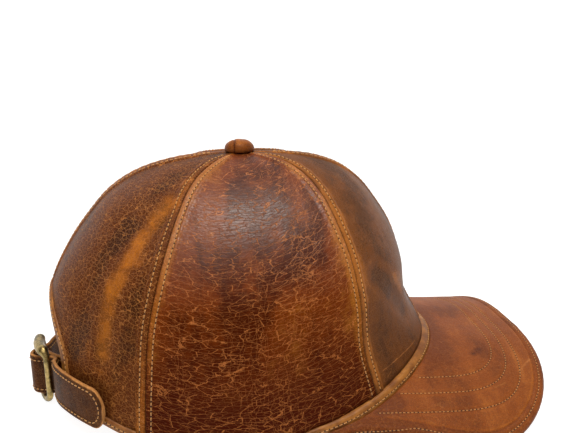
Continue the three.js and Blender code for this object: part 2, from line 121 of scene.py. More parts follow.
# Peak
PEAK_LENGTH = 57.0
PEAK_HALF_WIDTH = 97.0
PEAK_SQUARENESS = 3.65
PEAK_END_POWER = 12
PEAK_THICKNESS = 4.0
PEAK_EDGE_ROUND = 2.4
PEAK_MIDDLE_HEIGHT = 25
PEAK_DROP = 27
PEAK_DROP_AT = 85
PEAK_DROP_POWER = 2.6
PEAK_SLOPE = 0.05
PEAK_SEAM_GAP = 0.4
PEAK_CROWN_AZIMUTH = 71.0
PEAK_LAST_ANGLE = 88.5
PEAK_BAND = 5.4
PEAK_EDGE_STITCH = 3.2
PEAK_STEPS = 170
PEAK_ROWS = 80
PEAK_ROW_START = 85.0
PEAK_ROW_SQUARENESS = 4.4
PEAK_STITCH_ROWS = [(57.0, 143.3), (65.7, 149.3), (74.7, 155.0)]
PEAK_ROW_END = 40.0
PEAK_ROW_CLEAR = 4.2
PEAK_EDGE_STITCH_CLEAR = 4.5
PEAK_QUILT_ENDS = (6, 9)

# Rolled edges
BINDING_HEIGHT = 4.8
BINDING_OUT = 1.0
BINDING_IN = -3.0
BINDING_CORNER = 1.1
BINDING_FRONT_FLARE = 2.2
BINDING_FLARE_ENDS = (58, 78)
BINDING_STITCH = 2.6
ARCH_RADIUS = 42.0
ARCH_CENTRE_HEIGHT = 18.0
ARCH_BINDING_WIDTH = 4.5
ARCH_TUCK = 0.8
ARCH_CUT = ARCH_RADIUS + ARCH_BINDING_WIDTH - ARCH_TUCK
ARCH_STITCH = 3.6
ARCH_STEPS = 90
ARCH_PLACE_ROUNDS = 12

# Button
BUTTON_RADIUS = 8.0
BUTTON_HEIGHT = 6.4
BUTTON_SIDE_SHARE = 0.14
BUTTON_ROUNDNESS = 0.9
BUTTON_SIDES = 72
BUTTON_CREASE = 2.6

# Straps: along, out and low on the back edge
MM_PER_DEGREE = 1.5
STRAP_HEIGHT = 21.5
STRAP_TIP = 7.0
STRAP_STEP = 1.1
STRAP_STITCH = 2.5
STRAP_EDGE_SHARES = [0.0, 0.02, 0.05, 0.09, 0.115, 0.14, 0.2, 0.35]
PATH_SAMPLES = 1600
BUCKLE_ALONG = 18.0
BUCKLE_LOW = 9.2
LONG_STRAP = [
    (-66, -7.4, 14), (-50, -8, 14), (-36, -8.8, 12.6), (-20, -8, 10.8), (-6, -5.4, 9.6),
    (3, -2.9, 9.2), (6, -2.2, 9.2), (8.7, -1.2, 9.2), (11, 1.5, 9.2), (13, 4.3, 9.2),
    (15, 6.5, 9.2), (18, 7.4, 9.2), (21, 6.5, 9.2), (23, 4.3, 9.2), (25, 1.5, 9.4),
    (27.3, -1.2, 9.8), (31, -2.1, 10.4), (38, 0.8, 12.2), (46, 2.8, 12.8), (56, 3.6, 12.4),
    (66, 3.8, 11.2), (76, 3.6, 9.4),
]
SHORT_STRAP = [
    (66, -7, 13.6), (50, -7.6, 13.6), (40, -6.8, 12.2), (30, -4.8, 10.4), (24, -2.6, 9.6),
    (18, -0.6, 9.2),
]
LOOP_RADIUS = 2.8
LOOP_TURNS = range(45, 286, 30)

# Buckle
BUCKLE_HALF_WIDTH = 12.0
BUCKLE_RAIL_LOW = 6.9
BUCKLE_RAIL_HIGH = 34.4
BUCKLE_WIRE = 1.7
BUCKLE_RAIL_EXTRA = 1.1
BUCKLE_SIDE_OUT = 0.9
BUCKLE_BAR_OUT = 2.2
BUCKLE_BAR_RADIUS = 1.4
BUCKLE_CORNER = 5.0
BUCKLE_BOW = 2.4
BUCKLE_POINTS = 160
WIRE_SIDES = 18


def smooth(value, low, high):
    share = np.clip((value - low) / (high - low), 0, 1)
    return share * share * (3 - 2 * share)


def bell(value, centre, width):
    """1 at the centre, falling to 0 on both sides of it."""
    return np.exp(-(((value - centre) / width) ** 2))


def cos_sin(degrees):
    turn = np.radians(degrees)
    return np.cos(turn), np.sin(turn)


def lengths(points):
    """Distance from the first point along a path, or down each column of a grid."""
    steps = np.linalg.norm(np.diff(points, axis=0), axis=-1)
    return np.concatenate([np.zeros_like(steps[:1]), np.cumsum(steps, axis=0)])


def spokes(a, b, count):
    """Points evenly round a circle that a and b span."""
    turns = np.radians(np.arange(count) * 360 / count)[:, None]
    return a * np.cos(turns) + b * np.sin(turns)


def curve(t, start, start_slope, end, end_slope):
    """A smooth curve from start to end for t from 0 to 1, with a slope at each."""
    square, cube = t**2, t**3
    return (
        (2 * cube - 3 * square + 1) * start + (cube - 2 * square + t) * start_slope
        + (3 * square - 2 * cube) * end + (cube - square) * end_slope
    )


def round_corners(centres, radius, steps):
    """Points of quarter circles round centres, each given with the angle it starts at."""
    points = []
    for x, y, turn in centres:
        for step in range(steps + 1):
            angle = math.radians(turn + 90 * step / steps)
            points.append((x + radius * math.cos(angle), y + radius * math.sin(angle)))
    return points


def crown_size(column, level):
    table = CROWN_LEVELS[:, column]
    last = len(table) - 1
    held = np.concatenate(([2 * table[0] - table[1]], table, [2 * table[last] - table[last - 1]]))
    spot = np.clip(level, 0, 1) * last
    row = np.minimum(np.floor(spot).astype(int), last - 1)
    part = spot - row
    before, here, after, beyond = held[row], held[row + 1], held[row + 2], held[row + 3]
    return curve(part, here, (after - before) / 2, after, (beyond - here) / 2)


def away_from_front(azimuth):
    return np.abs((azimuth + 180) % 360 - 180)


def peak_height(x, y):
    drop = PEAK_DROP * (np.abs(y) / PEAK_DROP_AT) ** PEAK_DROP_POWER
    return PEAK_MIDDLE_HEIGHT - drop - PEAK_SLOPE * (x - CROWN_FRONT)


def edge_height(azimuth):
    away = away_from_front(azimuth)
    c, s = cos_sin(away)
    front = np.maximum(peak_height(CROWN_FRONT * c, CROWN_SIDE * s), 0)
    front = np.where(away < 90, front * (1 - smooth(away, *FRONT_LIFT_ENDS)), 0)
    return front + BACK_LIFT * smooth(away, *BACK_LIFT_ENDS)


def level_at_rise(rise):
    return np.degrees(np.arcsin(np.clip(rise, 0, 1) ** (1 / CROWN_ROUNDNESS))) / 90


def plain_crown(azimuth, level):
    azimuth, level = np.broadcast_arrays(np.asarray(azimuth, float), np.asarray(level, float))
    c, s = cos_sin(azimuth)
    low = edge_height(azimuth)
    rise = np.sin(np.radians(90 * np.clip(level, 0, 1))) ** CROWN_ROUNDNESS
    long = np.where(c > 0, crown_size(FRONT, level), crown_size(BACK, level))
    x = CROWN_TOP_X * level + long * c
    y = crown_size(SIDE, level) * s
    return np.stack([x, y, low + (CROWN_HEIGHT - low) * rise], axis=-1)


def unit(v):
    return v / np.maximum(np.linalg.norm(v, axis=-1, keepdims=True), 1e-9)


def crown_normal(azimuth, level):
    across = plain_crown(azimuth + 1, level) - plain_crown(azimuth - 1, level)
    up = plain_crown(azimuth, level + 0.01) - plain_crown(azimuth, np.maximum(level - 0.01, 0))
    return unit(np.cross(across, up))


def fold_shares(points):
    """How near each point is to each fold's line, from 0 to 1."""
    shares = []
    for azimuth, level, to_azimuth, to_level, width, _ in FOLDS:
        a, b = plain_crown(azimuth, level), plain_crown(to_azimuth, to_level)
        t = np.clip(((points - a) @ (b - a)) / ((b - a) @ (b - a)), 0, 1)
        gap = np.linalg.norm(points - (a + t[..., None] * (b - a)), axis=-1)
        shares.append(bell(gap, 0, width))
    return shares


def crown_point(azimuth, level, out=0.0):
    points = plain_crown(azimuth, level)
    pressed = sum(fold[-1] * share for fold, share in zip(FOLDS, fold_shares(points)))
    return points + crown_normal(azimuth, level) * (pressed + out)[..., None]


def edge_outward(azimuth):
    c, s = cos_sin(azimuth)
    long = np.where(c > 0, CROWN_FRONT, CROWN_BACK)
    return unit(np.stack([c / long, s / CROWN_SIDE, np.zeros_like(c)], axis=-1))


def place(points):
    """Cap frame in millimetres to row frame in metres."""
    c, s = math.cos(REST_TILT), math.sin(REST_TILT)
    x, z = points[..., 0], points[..., 2]
    turned = np.stack([x * c + z * s, points[..., 1], z * c - x * s], axis=-1)
    return (turned + REST_SHIFT) * MM


def wobble(points, wavelength, amount):
    """A soft unevenness for each point, the same every time."""
    flat = points.reshape(-1, 3) / wavelength
    values = [noise.noise(Vector(p)) for p in flat]
    return np.array(values).reshape(points.shape[:-1]) * amount


def piece(name, points, faces, node, slot, material, marks=None):
    """A smooth mesh in the row frame, with float or vector marks on its vertices."""
    mesh = bpy.data.meshes.new(name)
    mesh.from_pydata(place(np.asarray(points)).tolist(), [], faces)
    for key, values in (marks or {}).items():
        values = np.asarray(values, dtype=np.float32)
        kind = "FLOAT_VECTOR" if values.ndim == 2 else "FLOAT"
        mark = mesh.attributes.new(key, kind, "POINT")
        mark.data.foreach_set("vector" if values.ndim == 2 else "value", values.ravel())
    work = bmesh.new()
    work.from_mesh(mesh)
    bmesh.ops.recalc_face_normals(work, faces=work.faces)
    work.to_mesh(mesh)
    work.free()
    mesh.shade_smooth()
    mesh.materials.append(material)
    item = bpy.data.objects.new(name, mesh)
    bpy.context.scene.collection.objects.link(item)
    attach(item, "root")
    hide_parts(node)


def grid_faces(rows, columns, start=0):
    index = np.arange(rows * columns).reshape(rows, columns) + start
    a, b, c, d = index[:-1, :-1], index[:-1, 1:], index[1:, 1:], index[1:, :-1]
    return np.stack([a, b, c, d], axis=-1).reshape(-1, 4).tolist()


def shell(outer, inner):
    """Vertices and faces of a closed sheet between two grids of points."""
    rows, columns = outer.shape[:2]
    count = rows * columns
    faces = grid_faces(rows, columns) + grid_faces(rows, columns, count)
    index = np.arange(count).reshape(rows, columns)
    loop = np.concatenate([index[0], index[1:, -1], index[-1, -2::-1], index[-2:0:-1, 0]])
    for a, b in zip(loop, np.roll(loop, -1)):
        faces.append([int(a), int(b), int(b + count), int(a + count)])
    return np.concatenate([outer.reshape(-1, 3), inner.reshape(-1, 3)]), faces


def tube(rings, closed=False):
    """Vertices and faces through rings of points, with flat ends unless closed."""
    count, around = rings.shape[:2]
    faces = []
    for i in range(count if closed else count - 1):
        for j in range(around):
            k, n = (j + 1) % around, (i + 1) % count
            faces.append([i * around + j, i * around + k, n * around + k, n * around + j])
    if not closed:
        faces.append(list(range(around)))
        faces.append([(count - 1) * around + j for j in range(around)])
    return rings.reshape(-1, 3), faces


def even_spots(path, count):
    """Evenly spaced places along a path, as indices with fractions."""
    run = lengths(path)
    return np.interp(np.linspace(0, run[-1], count), run, np.arange(len(run)))


def at(path, spots):
    """Points of a path at places given as indices with fractions."""
    columns = [np.interp(spots, np.arange(len(path)), path[:, i]) for i in range(path.shape[1])]
    return np.stack(columns, axis=-1)


class Sewing:
    """Gathers stitches and the holes between them, for one node. Each hole is a small dark disc, painted
    shade for the hollow the thread passes through.
    """

    def __init__(self):
        self.thread, self.holes = ([], []), ([], [])

    def row(self, path, normals, pitch=PITCH, length=STITCH_LENGTH, radius=THREAD):
        total = np.linalg.norm(np.diff(path, axis=0), axis=1).sum()
        count = max(int(round(total / pitch)), 1)
        spots = even_spots(path, 2 * count + 1)
        points, ups = at(path, spots), unit(at(normals, spots))
        for i in range(count):
            middle, up = points[2 * i + 1], ups[2 * i + 1]
            run = unit(points[2 * i + 2] - points[2 * i])
            across = np.cross(run, up)
            run = unit(run + across * random.uniform(-0.09, 0.09))
            across = np.cross(run, up)
            self.stitch(middle, run, across, up, length / 2 * random.uniform(0.92, 1.08), radius)
            self.hole(points[2 * i], run, across, up)

    def gather(self, kind, points, faces):
        start = len(kind[0])
        kind[0].extend(points)
        kind[1].extend([start + i for i in face] for face in faces)

    def stitch(self, middle, run, across, up, half, radius):
        rings = []
        for t, wide, lift in STITCH_RINGS:
            centre = middle + run * (t * half) + up * (lift * radius)
            rings.append(centre + spokes(across, up, STITCH_SIDES) * (radius * wide))
        self.gather(self.thread, *tube(np.array(rings)))

    def hole(self, centre, run, across, up):
        rim = centre + spokes(run, across, HOLE_SIDES) * HOLE_RADIUS - up * 0.05
        faces = [[j, (j + 1) % HOLE_SIDES, HOLE_SIDES] for j in range(HOLE_SIDES)]
        self.gather(self.holes, [*rim, centre + up * 0.09], faces)

    def finish(self, name, node, slot):
        piece(name + "_thread", *self.thread, node, "edge_leather", THREAD_TAN)
        piece(name + "_holes", *self.holes, node, slot, HOLE_SHADE)


class Shader:
    """A small helper that builds a node material."""

    def __init__(self, name):
        self.material = bpy.data.materials.new(name)
        self.material.use_nodes = True
        self.tree = self.material.node_tree
        self.tree.nodes.clear()

    def put(self, socket, value):
        if isinstance(value, bpy.types.NodeSocket):
            self.tree.links.new(value, socket)
        else:
            socket.default_value = value

    def node(self, kind, inputs, settings=None):
        item = self.tree.nodes.new(kind)
        for key, value in (settings or {}).items():
            setattr(item, key, value)
        for key, value in inputs.items():
            self.put(item.inputs[key], value)
        return item

    def mark(self, name, output="Fac"):
        return self.node("ShaderNodeAttribute", {}, {"attribute_name": name}).outputs[output]

    def math(self, operation, a, b=0.0, clamp=False):
        settings = {"operation": operation, "use_clamp": clamp}
        return self.node("ShaderNodeMath", {0: a, 1: b}, settings).outputs[0]

    def add(self, a, b):
        return self.math("ADD", a, b)

    def total(self, value, *others):
        for other in others:
            value = self.add(value, other)
        return value

    def times(self, a, b):
        return self.math("MULTIPLY", a, b)

    def ramp(self, value, low, high, to_low=0.0, to_high=1.0):
        inputs = {0: value, 1: low, 2: high, 3: to_low, 4: to_high}
        item = self.node("ShaderNodeMapRange", inputs, {"interpolation_type": "SMOOTHSTEP"})
        return item.outputs[0]

    def mix(self, factor, a, b, blend="MIX"):
        settings = {"data_type": "RGBA", "blend_type": blend}
        return self.node("ShaderNodeMix", {0: factor, 6: a, 7: b}, settings).outputs[2]

    def vector_math(self, operation, a, b, output=0):
        item = self.node("ShaderNodeVectorMath", {0: a, 1: b}, {"operation": operation})
        return item.outputs[output]

    def stretch(self, vector, scale):
        return self.vector_math("MULTIPLY", vector, scale)

    def shift(self, vector, other):
        return self.vector_math("ADD", vector, other)

    def noise(self, vector, scale, detail=3.0, roughness=0.55, output=0):
        inputs = {"Vector": vector, "Scale": scale, "Detail": detail, "Roughness": roughness}
        return self.node("ShaderNodeTexNoise", inputs).outputs[output]

    def cracks(self, vector, scale, width):
        inputs = {"Vector": vector, "Scale": scale, "Randomness": 0.88}
        item = self.node("ShaderNodeTexVoronoi", inputs, {"feature": "DISTANCE_TO_EDGE"})
        return self.ramp(item.outputs["Distance"], 0.0, width, 1.0, 0.0)

    def warp(self, vector, scale, amount, detail=3.0):
        bend = self.noise(vector, scale, detail, 0.6, output=1)
        centred = self.shift(bend, (-0.5, -0.5, -0.5))
        return self.shift(vector, self.stretch(centred, (amount, amount, amount)))

    def near_line(self, spot, a, b, width):
        """1 on the straight line from a to b, fading to 0 at a width from it."""
        a, run = Vector(a), Vector(b) - Vector(a)
        away = self.vector_math("SUBTRACT", spot, a)
        share = self.vector_math("DOT_PRODUCT", away, run / run.length_squared, "Value")
        share = self.math("ADD", share, 0.0, True)
        near = self.node("ShaderNodeVectorMath", {0: run, "Scale": share}, {"operation": "SCALE"})
        gap = self.vector_math("DISTANCE", away, near.outputs[0], "Value")
        return self.ramp(gap, 0.0, width, 1.0, 0.0)

    def end(self, colour, roughness, height, height_mm=1.0, **fixed):
        bump = self.node("ShaderNodeBump", {"Strength": 1.0, "Distance": MM * height_mm, "Height": height})
        surface = self.node("ShaderNodeBsdfPrincipled", {"Base Color": colour, "Roughness": roughness})
        self.put(surface.inputs["Normal"], bump.outputs[0])
        for key, value in fixed.items():
            self.put(surface.inputs[key.replace("_", " ")], value)
        self.node("ShaderNodeOutputMaterial", {"Surface": surface.outputs[0]})
        return self.material


def srgb(r, g, b):
    parts = []
    for value in (r, g, b):
        share = value / 255
        parts.append(share / 12.92 if share <= 0.04045 else ((share + 0.055) / 1.055) ** 2.4)
    return (*parts, 1.0)


def leather(name, tones, wide=(0.4, 1.0), sizes=(0.34, 0.8), cracked=(0.6, 0.3), upright=0.0,
            line=0.05, gloss=0.39, shine=(0.12, 0.15), glow=(0.3, 2.0), tan_from=0.62, painted_shade=0.0, marks=()):
    """Waxed leather that lightens where it is bent and cracks into fine pale lines.

    tones are its dark, middle, light and crack colours. wide stretches the cracks, sizes are
    the scales of the big and fine ones, cracked how strong each is, upright how strong the
    tall ones are, and line is their width. gloss is the roughness and shine the sheen low and
    high on the cap. glow is how light the sheet gets beside a sewn edge and over how many
    millimetres, tan_from where the light colour starts, and painted_shade how strongly a red
    painted shade darkens its foot. marks are rubbed lines: points in the cap's frame, width and colour.

    It reads the vertex marks flat (millimetres on the sheet), spot (the cap's frame), seam
    (millimetres from the nearest sewn edge), worn (lighter), pressed (darker: painted shade in folds,
    creases and next to the crown, and a plain darker tone on the peak's band and the straps' middles) and
    inside.
    """
    s = Shader(name)
    dark, mid, tan, vein = (srgb(*tone) for tone in tones)
    flat, spot = s.mark("flat", "Vector"), s.mark("spot", "Vector")
    seam, worn, pressed, inside = (s.mark(key) for key in ("seam", "worn", "pressed", "inside"))
    bent = s.warp(s.warp(flat, 0.03, 8.0, 1.0), 0.45, 1.0, 2.0)
    cell = s.stretch(bent, (*wide, 1.0))
    big = s.cracks(cell, sizes[0], line)
    fine = s.cracks(s.stretch(bent, (wide[0] * 1.15, wide[1], 1.0)), sizes[1], line * 1.7)
    patches = s.ramp(s.noise(flat, 0.05, 4.0, 0.65), 0.33, 0.6)
    broken = s.ramp(s.noise(flat, 0.35, 3.0, 0.6), 0.34, 0.6, 0.5, 1.0)
    streaks = s.ramp(s.noise(s.stretch(flat, (1.0, 0.28, 1.0)), 0.05, 5.0, 0.6), 0.33, 0.67)
    clouds = s.ramp(s.noise(flat, 0.022, 5.0, 0.55), 0.33, 0.67)
    mottle = s.ramp(s.noise(flat, 0.16, 5.0, 0.65), 0.3, 0.7)
    grain = s.noise(flat, 1.6, 2.0, 0.5)
    # pressed darkens the sheet: painted shade in folds, creases and next to the crown, and a plain darker
    # tone on the peak's band and the straps' middles
    light = s.total(
        s.times(streaks, 0.42), s.times(clouds, 0.34), s.times(mottle, 0.2), s.times(worn, 0.42),
        s.ramp(seam, 3.5, 3.5 + glow[1], glow[0], 0.0), s.times(pressed, -0.3),
    )
    colour = s.mix(s.ramp(light, 0.25, 0.62), dark, mid)
    colour = s.mix(s.ramp(light, tan_from, tan_from + 0.42), colour, tan)
    rise = s.node("ShaderNodeSeparateXYZ", {0: spot}).outputs[2]
    waxed = s.times(s.ramp(rise, 66.0, 104.0, *shine), s.ramp(rise, 114.0, 130.0, 1.0, 0.5))
    # painted shade: the foot of the crown is made darker and redder
    if painted_shade:
        low = s.ramp(rise, 12.0, 84.0, painted_shade, 0.0)
        colour = s.mix(low, colour, srgb(64, 17, 0))
    lines = s.add(s.times(big, cracked[0]), s.times(fine, cracked[1]))
    if upright:
        tall = s.cracks(s.stretch(bent, (1.0, 0.3, 1.0)), 0.36, line * 0.8)
        bands = s.ramp(s.noise(s.stretch(flat, (1.0, 0.12, 1.0)), 0.07, 2.0), 0.52, 0.66)
        lines = s.add(lines, s.times(s.times(tall, bands), upright))
    lines = s.times(s.times(lines, broken), s.ramp(patches, 0.0, 1.0, 0.6, 1.0))
    colour = s.mix(s.math("MINIMUM", lines, 0.6), colour, vein)
    rough_spot = s.warp(spot, 0.25, 1.4)
    for path, width, tone in marks:
        for a, b in zip(path, path[1:]):
            near = s.times(s.near_line(rough_spot, a, b, width), s.ramp(mottle, 0.0, 1.0, 0.35, 0.9))
            colour = s.mix(near, colour, tone)
    speckle = s.ramp(grain, 0.3, 0.7, 0.8, 1.14)
    tint = s.node("ShaderNodeCombineColor", {0: speckle, 1: speckle, 2: speckle}).outputs[0]
    colour = s.mix(1.0, colour, tint, "MULTIPLY")
    # painted shade: a dark line along the seam groove, where the panel meets its neighbour
    colour = s.mix(s.ramp(seam, 0.0, 0.35, 0.7, 0.0), colour, srgb(40, 18, 6))
    flesh = s.mix(s.noise(flat, 0.9, 4.0, 0.6), srgb(74, 48, 30), srgb(108, 74, 48))
    colour = s.mix(inside, colour, flesh)
    roughness = s.ramp(grain, 0.2, 0.8, gloss - 0.05, gloss + 0.08)
    roughness = s.total(roughness, s.times(lines, 0.15), s.times(inside, 0.4))
    height = s.total(
        s.times(lines, -0.16), s.times(grain, 0.06), s.times(s.noise(flat, 0.3, 3.0, 0.5), 0.28),
        s.times(fine, -0.09),
    )
    return s.end(colour, roughness, height, Specular_IOR_Level=waxed)


def edge_leather(name, dark, tan):
    s = Shader(name)
    flat = s.mark("flat", "Vector")
    soft = s.noise(s.stretch(flat, (0.6, 1.0, 1.0)), 0.25, 4.0, 0.6)
    grain = s.noise(flat, 1.8, 2.0, 0.5)
    light = s.add(soft, s.times(s.mark("worn"), 0.35))
    colour = s.mix(s.ramp(light, 0.35, 0.85), dark, tan)
    height = s.add(s.times(soft, 0.35), s.times(grain, 0.12))
    return s.end(colour, s.ramp(grain, 0.2, 0.8, 0.42, 0.56), height, Specular_IOR_Level=0.3)


def plain(name, colour, roughness):
    s = Shader(name)
    coordinates = s.node("ShaderNodeTexCoord", {}).outputs["Object"]
    twist = s.noise(coordinates, 2600.0, 2.0)
    shade = s.mix(s.ramp(twist, 0.3, 0.7), colour, tuple(c * 0.72 for c in colour[:3]) + (1.0,))
    return s.end(shade, roughness, twist, 0.15)


def brass():
    s = Shader("antique_brass")
    coordinates = s.node("ShaderNodeTexCoord", {}).outputs["Object"]
    patina = s.noise(coordinates, 260.0, 5.0, 0.65)
    fine = s.noise(coordinates, 1500.0, 3.0, 0.6)
    colour = s.mix(s.ramp(patina, 0.38, 0.62), srgb(96, 84, 52), srgb(176, 152, 98))
    roughness = s.ramp(fine, 0.3, 0.7, 0.26, 0.42)
    return s.end(colour, roughness, fine, 0.1, Metallic=1.0)


def on_peak(*places):
    return [(x, y, peak_height(x, y) + PEAK_THICKNESS / 2) for x, y in places]


def on_crown(*places):
    return [tuple(crown_point(np.array(a), np.array(level))) for a, level in places]


SCRATCH = srgb(176, 112, 58)
FRONT_MARKS = [
    (on_crown((-48.1, 0.05), (-41, 0.045), (-34, 0.04), (-27.5, 0.035)), 0.5, SCRATCH),
    (on_crown((-47.1, 0.03), (-45.1, 0.033)), 0.5, SCRATCH),
]
PEAK_MARKS = [
    (on_peak((113.4, -29.4), (130.9, -54.2)), 0.6, SCRATCH),
    (on_peak((149.9, -55.0), (160.0, -47.5)), 1.0, SCRATCH),
    (on_peak((132.6, -64.5), (138.9, -62.0)), 1.2, srgb(168, 108, 50)),
    (on_peak((129, -42), (134, -39)), 3.2, srgb(62, 24, 10)),
]
BACK_MARKS = [
    (on_crown((235.5, 0.64), (230, 0.48), (226.8, 0.33), (226.5, 0.15)), 6.5, srgb(172, 100, 26)),
]
PANEL_LEATHER = {
    "side": leather(
        "side_leather",
        ((66, 22, 1), (106, 46, 8), (154, 92, 30), (196, 120, 62)),
        (0.25, 1.0), (0.38, 0.8), (0.9, 0.34), 0.7, line=0.034, gloss=0.42, shine=(0.03, 0.5),
        glow=(0.2, 2.0), painted_shade=1.0,
    ),
    "back": leather(
        "back_leather",
        ((54, 22, 3), (86, 40, 9), (142, 78, 20), (196, 128, 64)),
        (0.62, 1.0), (0.5, 1.0), (0.85, 0.35), line=0.056, shine=(0.05, 0.16), glow=(0.26, 4.0),
        tan_from=0.74, marks=BACK_MARKS,
    ),
    "front": leather(
        "front_leather",
        ((76, 42, 16), (106, 59, 20), (160, 95, 34), (160, 104, 52)),
        (0.8, 1.0), (0.6, 1.0), (0.3, 0.35), glow=(0.25, 7.0), tan_from=0.66, marks=FRONT_MARKS,
    ),
    "button": leather(
        "button_leather",
        ((70, 30, 8), (114, 60, 20), (170, 102, 44), (160, 104, 52)),
        (0.8, 1.0), (0.6, 1.0), (0.1, 0.2), gloss=0.36,
    ),
}
PEAK_LEATHER = leather(
    "peak_leather",
    ((104, 48, 11), (130, 65, 18), (162, 92, 34), (172, 108, 52)),
    (0.7, 1.0), (0.4, 0.9), (0.3, 0.3), gloss=0.5, shine=(0.18, 0.18), marks=PEAK_MARKS,
)
STRAP_LEATHER = leather(
    "strap_leather",
    ((46, 22, 8), (80, 44, 18), (190, 132, 76), (150, 98, 50)),
    (0.6, 1.0), (0.5, 1.0), (0.4, 0.3), shine=(0.05, 0.1),
)
EDGE_LEATHER = edge_leather("edge_leather", srgb(108, 60, 18), srgb(170, 112, 46))
THREAD_TAN = plain("thread", srgb(200, 144, 80), 0.6)
# painted shade: dark discs stand in for the hollows of the stitch holes
HOLE_SHADE = plain("stitch_hole_shade", srgb(36, 14, 6), 0.8)
BRASS = brass()


def seam_relief(distance, along, share):
    """Height of the sewn edge over the plain panel, by distance from the seam."""
    lip = 0.8 * (1 - smooth(distance, *SEAM_LIP_ENDS))
    groove = -0.6 * bell(distance, 0, 0.35)
    sunk = -0.3 * bell(distance, SEAM_STITCH, 0.7)
    pucker = 0.12 * np.cos(np.pi * along / PITCH) * bell(distance, 4.8, 1.3)
    return (lip + groove + sunk + pucker) * share


def panel_grid(first, last):
    """A panel's grid: azimuth, level, distance from the nearest seam and share of full width."""
    samples = np.linspace(first, last, 161)
    start = level_at_rise((BINDING_HEIGHT + GAP) / (CROWN_HEIGHT - edge_height(samples)))
    azimuths, levels, seams, shares = [], [], [], []
    for row in range(PANEL_ROWS + 1):
        level = start + (PANEL_TOP_LEVEL - start) * (row / PANEL_ROWS)
        run = lengths(plain_crown(samples, level))
        width = run[-1]
        share = min(1.0, width / SEAM_FULL_WIDTH)
        near = np.array(SEAM_COLUMNS) * share
        middle = np.linspace(near[-1], width - near[-1], MIDDLE_COLUMNS + 2)[1:-1]
        spots = np.concatenate([near, middle, (width - near)[::-1]])
        azimuth = np.interp(spots, run, samples)
        azimuths.append(azimuth)
        levels.append(np.interp(azimuth, samples, level))
        seams.append(np.minimum(spots, width - spots))
        shares.append(np.full(len(spots), share))
    return [np.array(a) for a in (azimuths, levels, seams, shares)]


def in_opening(points):
    """Tells which points of the back panels lie in the opening or under its rolled edge."""
    y, z = points[..., 1], points[..., 2] - ARCH_CENTRE_HEIGHT
    return (points[..., 0] < -20) & (np.where(z > 0, np.hypot(y, z), np.abs(y)) < ARCH_CUT)


def cut_by_arch(points, faces):
    """Keeps the faces outside the opening, with the cut row pulled on to its edge."""
    inside = in_opening(points)
    kept = [f for f in faces if not all(inside[i] for i in f)]
    touched = sorted({i for f in kept for i in f if inside[i]})
    for i in touched:
        y, z = points[i, 1], points[i, 2] - ARCH_CENTRE_HEIGHT
        if z > 0:
            grow = ARCH_CUT / max(math.hypot(y, z), 1e-6)
            points[i, 1], points[i, 2] = y * grow, ARCH_CENTRE_HEIGHT + z * grow
        else:
            points[i, 1] = math.copysign(ARCH_CUT, y)
    used = sorted({i for f in kept for i in f})
    fresh = {old: new for new, old in enumerate(used)}
    return points[used], [[fresh[i] for i in f] for f in kept], used


def twice(values):
    """Values for both faces of a sheet, which show the same ones."""
    return np.concatenate([values, values])


def panels():
    for order, (node, first, last) in enumerate(PANELS):
        azimuth, level, seam, share = panel_grid(first, last)
        base = crown_point(azimuth, level)
        along = lengths(base)
        normal = crown_normal(azimuth, level)
        relief = seam_relief(seam / share, along, share)
        soft = smooth(seam, 5, 16)
        relief = relief + wobble(base, 26.0, 0.55) * soft + wobble(base + 90, 9.0, 0.16) * soft
        outer = base + normal * relief[..., None]
        inner = crown_point(azimuth, level, -LEATHER * 0.95)
        points, faces = shell(outer, inner)
        across = lengths(base.swapaxes(0, 1)).T
        across = across - across[:, [(seam.shape[1] - 1) // 2]]
        flat = np.stack([across + 400 * order, along, np.full_like(across, 37.0 * order)], axis=-1)
        folds = fold_shares(plain_crown(azimuth, level))
        ridge = sum(bell(f, 0.45, 0.16) for f in folds)
        # painted shade: darkens the hollow of each fold through the pressed mark
        painted_shade = sum(smooth(f, 0.6, 1.0) for f in folds)
        lip = bell(seam / share, 1.9, 1.0) + 0.7 * bell(seam / share, 5.0, 0.9)
        worn = np.clip(0.45 * ridge + 0.45 * lip, -1, 1)
        marks = {
            "flat": twice(flat.reshape(-1, 3)), "seam": twice((seam / share).ravel()),
            "worn": twice(worn.ravel()), "pressed": twice(np.clip(painted_shade, 0, 1).ravel()),
            "spot": twice(base.reshape(-1, 3)), "inside": np.repeat([0.0, 1.0], seam.size),
        }
        if node.startswith("back"):
            points, faces, used = cut_by_arch(points, faces)
            marks = {key: values[used] for key, values in marks.items()}
        kind = node.split("_")[0]
        piece(node + "_skin", points, faces, node, "crown_leather", PANEL_LEATHER[kind], marks)


def seam_stitches():
    """Two rows of stitches along the first seam of each panel."""
    for node, azimuth, _ in PANELS:
        low = float(edge_height(np.array(float(azimuth))))
        foot = BINDING_HEIGHT + SEAM_STITCH_FOOT
        if azimuth == 180:
            foot = ARCH_CENTRE_HEIGHT + ARCH_SEAM_START - low
        start = float(level_at_rise(foot / (CROWN_HEIGHT - low)))
        level = np.linspace(start, SEAM_STITCH_TOP, 160)
        middle = plain_crown(azimuth, level)
        sewing = Sewing()
        for side in (-1, 1):
            near = plain_crown(azimuth + side, level)
            per_degree = np.linalg.norm(near - middle, axis=1)
            share = np.minimum(1, per_degree * PANEL_DEGREES / SEAM_FULL_WIDTH)
            turn = azimuth + side * SEAM_STITCH * share / per_degree
            height = seam_relief(np.full_like(level, SEAM_STITCH), 0.8, share)
            points = crown_point(turn, level, 0.0) + crown_normal(turn, level) * (height + 0.1)[:, None]
            sewing.row(points, crown_normal(turn, level))
        sewing.finish(node + "_seam", node, "crown_leather")


